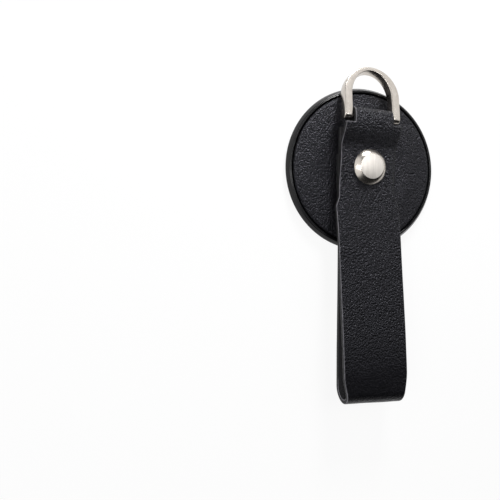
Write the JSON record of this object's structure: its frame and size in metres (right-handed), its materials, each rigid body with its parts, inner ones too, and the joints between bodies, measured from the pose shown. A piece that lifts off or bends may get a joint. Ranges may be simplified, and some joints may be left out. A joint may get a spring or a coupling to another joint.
{
  "type": "leather phone grip",
  "caption": "Round stick-on phone grip with a folded leather finger loop, a central metal stud and a swinging horseshoe ring for a neck cord.",
  "frame": {"origin": "centre of the adhesive pad's back face, which sticks to the phone", "axes": "+Z out of the front of the grip, +Y from the stud towards the ring, -Y along the finger loop, +X to the right"},
  "size_m": [0.04, 0.0813, 0.008],
  "materials": {
    "adhesive": "matt foam tape",
    "base_metal": "satin black paint on a pressed metal tray",
    "leather": "semi-matt fine-grained black leather with cut edges",
    "nickel": "polished nickel plate, brushed on the stud's flat top",
    "nut_metal": "plain turned steel"
  },
  "bodies": {
    "base": {"adhesive_pad": "adhesive", "base_plate": "base_metal", "leather_inlay": "leather"},
    "loop": {"strap": "leather", "stud_cap": "nickel", "stud_nut": "nut_metal"},
    "ring": {"ring": "nickel", "ring_pin": "nickel"}
  },
  "joints": [
    {"name": "strap_swivel", "type": "hinge", "parent": "base", "child": "loop", "pos_m": [0, 0, 0.003], "axis": [0, 0, 1], "continuous": true},
    {"name": "ring_swing", "type": "hinge", "parent": "loop", "child": "ring", "pos_m": [0, 0.0118, 0.00505], "axis": [1, 0, 0], "range_deg": [0, 105]}
  ]
}
